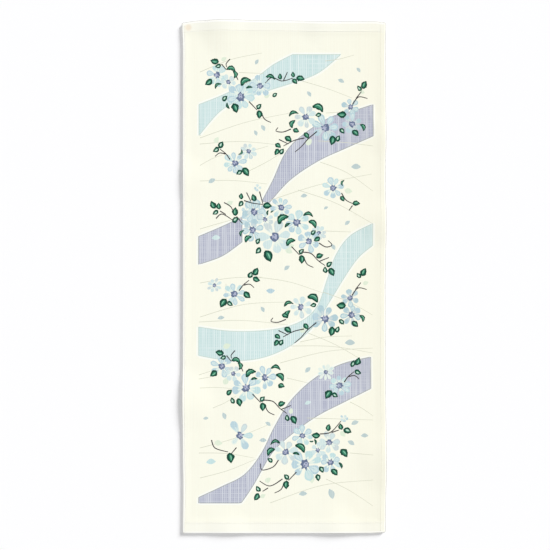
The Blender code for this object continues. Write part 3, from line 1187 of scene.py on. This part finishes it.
def add_stitch(points, faces, start, end, height_at, upwards):
    """One stitch: a short plump run of thread that dips into the cloth at both ends."""
    along = Vector((end[0] - start[0], end[1] - start[1])).normalized()
    beside = Vector((-along.y, along.x))
    first = len(points)
    for share, thick, arch in STITCH_RINGS:
        x = start[0] + (end[0] - start[0]) * share
        y = start[1] + (end[1] - start[1]) * share
        height = height_at(x, y) + upwards * (THREAD * (0.5 * arch - STITCH_DIP))
        for i in range(STITCH_SIDES):
            turn = 2 * math.pi * i / STITCH_SIDES
            out, up = THREAD / 2 * thick * math.cos(turn), THREAD / 2 * thick * math.sin(turn)
            points.append(place(x + beside.x * out, y + beside.y * out, max(height + up, LOWEST)))
    for ring in range(len(STITCH_RINGS) - 1):
        low, high = first + ring * STITCH_SIDES, first + (ring + 1) * STITCH_SIDES
        for i in range(STITCH_SIDES):
            j = (i + 1) % STITCH_SIDES
            faces.append((low + i, low + j, high + j, high + i))
    last = len(points) - STITCH_SIDES
    faces.append(tuple(first + i for i in reversed(range(STITCH_SIDES))))
    faces.append(tuple(last + i for i in range(STITCH_SIDES)))


def make_stitches():
    """Lockstitch round all four hems, seen on the face and on the back."""
    points, faces = [], []
    dice = random.Random(7)
    for height_at, upwards, shift in ((face_height, 1, 0.0), (back_height, -1, STITCH / 2)):
        for (start_x, start_y), (end_x, end_y) in seam_lines():
            length = math.dist((start_x, start_y), (end_x, end_y))
            east, north = (end_x - start_x) / length, (end_y - start_y) / length
            for i in range(int((length - shift) / STITCH)):
                low = shift + i * STITCH
                high = low + STITCH - STITCH_GAP
                aside = dice.uniform(-STITCH_WANDER, STITCH_WANDER)
                begin = (start_x + east * low - north * aside, start_y + north * low + east * aside)
                finish = (start_x + east * high + north * aside, start_y + north * high - east * aside)
                add_stitch(points, faces, begin, finish, height_at, upwards)
    mesh = bpy.data.meshes.new("hem_stitching")
    mesh.from_pydata(points, [], faces)
    mesh.materials.append(sewing_cotton())
    mesh.shade_smooth()
    stitches = bpy.data.objects.new("hem_stitching", mesh)
    bpy.context.scene.collection.objects.link(stitches)
    return stitches


# The studio

FRAME_PIXELS = 550
LENS = 100.0
SENSOR = 36.0
FLOOR_SIZE = 12.0
# A soft key light from the upper right and a weak one from the lower left.
# Columns: name, strength, softness, elevation, azimuth; the last three in degrees.
LIGHTS = (
    ("key", 5.02, 17.0, 16.5, 45.0),
    ("low", 0.45, 25.0, 42.0, 225.0),
)
LIGHT_DISTANCE = 3.0
FILL_STRENGTH = 0.47


def make_camera():
    """Straight over the towel, square to it, as far off as the frame's height needs."""
    data = bpy.data.cameras.new("camera")
    data.lens = LENS
    data.sensor_width = SENSOR
    frame_height = FRAME_PIXELS * PIXEL * MM
    across = (FRAME_PIXELS / 2 - CHART_MIDDLE[0]) * PIXEL - MIDDLE[0]
    along = (CHART_MIDDLE[1] - FRAME_PIXELS / 2) * PIXEL - MIDDLE[1]
    camera = bpy.data.objects.new("camera", data)
    camera.location = (across * MM, along * MM, frame_height * LENS / SENSOR + HEM_THICKNESS * MM)
    bpy.context.scene.collection.objects.link(camera)
    bpy.context.scene.camera = camera


def make_floor():
    """A plain pale floor of matt white card."""
    half = FLOOR_SIZE / 2
    mesh = bpy.data.meshes.new("floor")
    corners = [(-half, -half, 0), (half, -half, 0), (half, half, 0), (-half, half, 0)]
    mesh.from_pydata(corners, [], [(0, 1, 2, 3)])
    material = bpy.data.materials.new("white_card")
    material.use_nodes = True
    surface = material.node_tree.nodes["Principled BSDF"]
    surface.inputs["Base Color"].default_value = linear("#FCFCFD")
    surface.inputs["Roughness"].default_value = 0.95
    surface.inputs["Specular IOR Level"].default_value = 0.1
    mesh.materials.append(material)
    floor = bpy.data.objects.new("floor", mesh)
    bpy.context.scene.collection.objects.link(floor)


def make_light(name, strength, softness, elevation, azimuth):
    """One soft far light."""
    data = bpy.data.lights.new(name, "SUN")
    data.energy = strength
    data.angle = math.radians(softness)
    lamp = bpy.data.objects.new(name, data)
    up, round_ = math.radians(elevation), math.radians(azimuth)
    towards = Vector((math.cos(round_) * math.cos(up), math.sin(round_) * math.cos(up), math.sin(up)))
    lamp.rotation_euler = towards.to_track_quat("Z", "Y").to_euler()
    lamp.location = towards * LIGHT_DISTANCE
    bpy.context.scene.collection.objects.link(lamp)


def make_lights():
    """The two lights, and an even fill."""
    for row in LIGHTS:
        make_light(*row)
    world = bpy.data.worlds.new("studio")
    world.use_nodes = True
    world.node_tree.nodes["Background"].inputs["Color"].default_value = linear("#FFFFFF")
    world.node_tree.nodes["Background"].inputs["Strength"].default_value = FILL_STRENGTH
    bpy.context.scene.world = world
    bpy.context.scene.view_settings.view_transform = "Standard"


make_camera()
cloth = make_cloth()
stitches = make_stitches()
for piece in (cloth, stitches):
    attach(piece, "root")
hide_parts("towel_cloth")
make_floor()
make_lights()
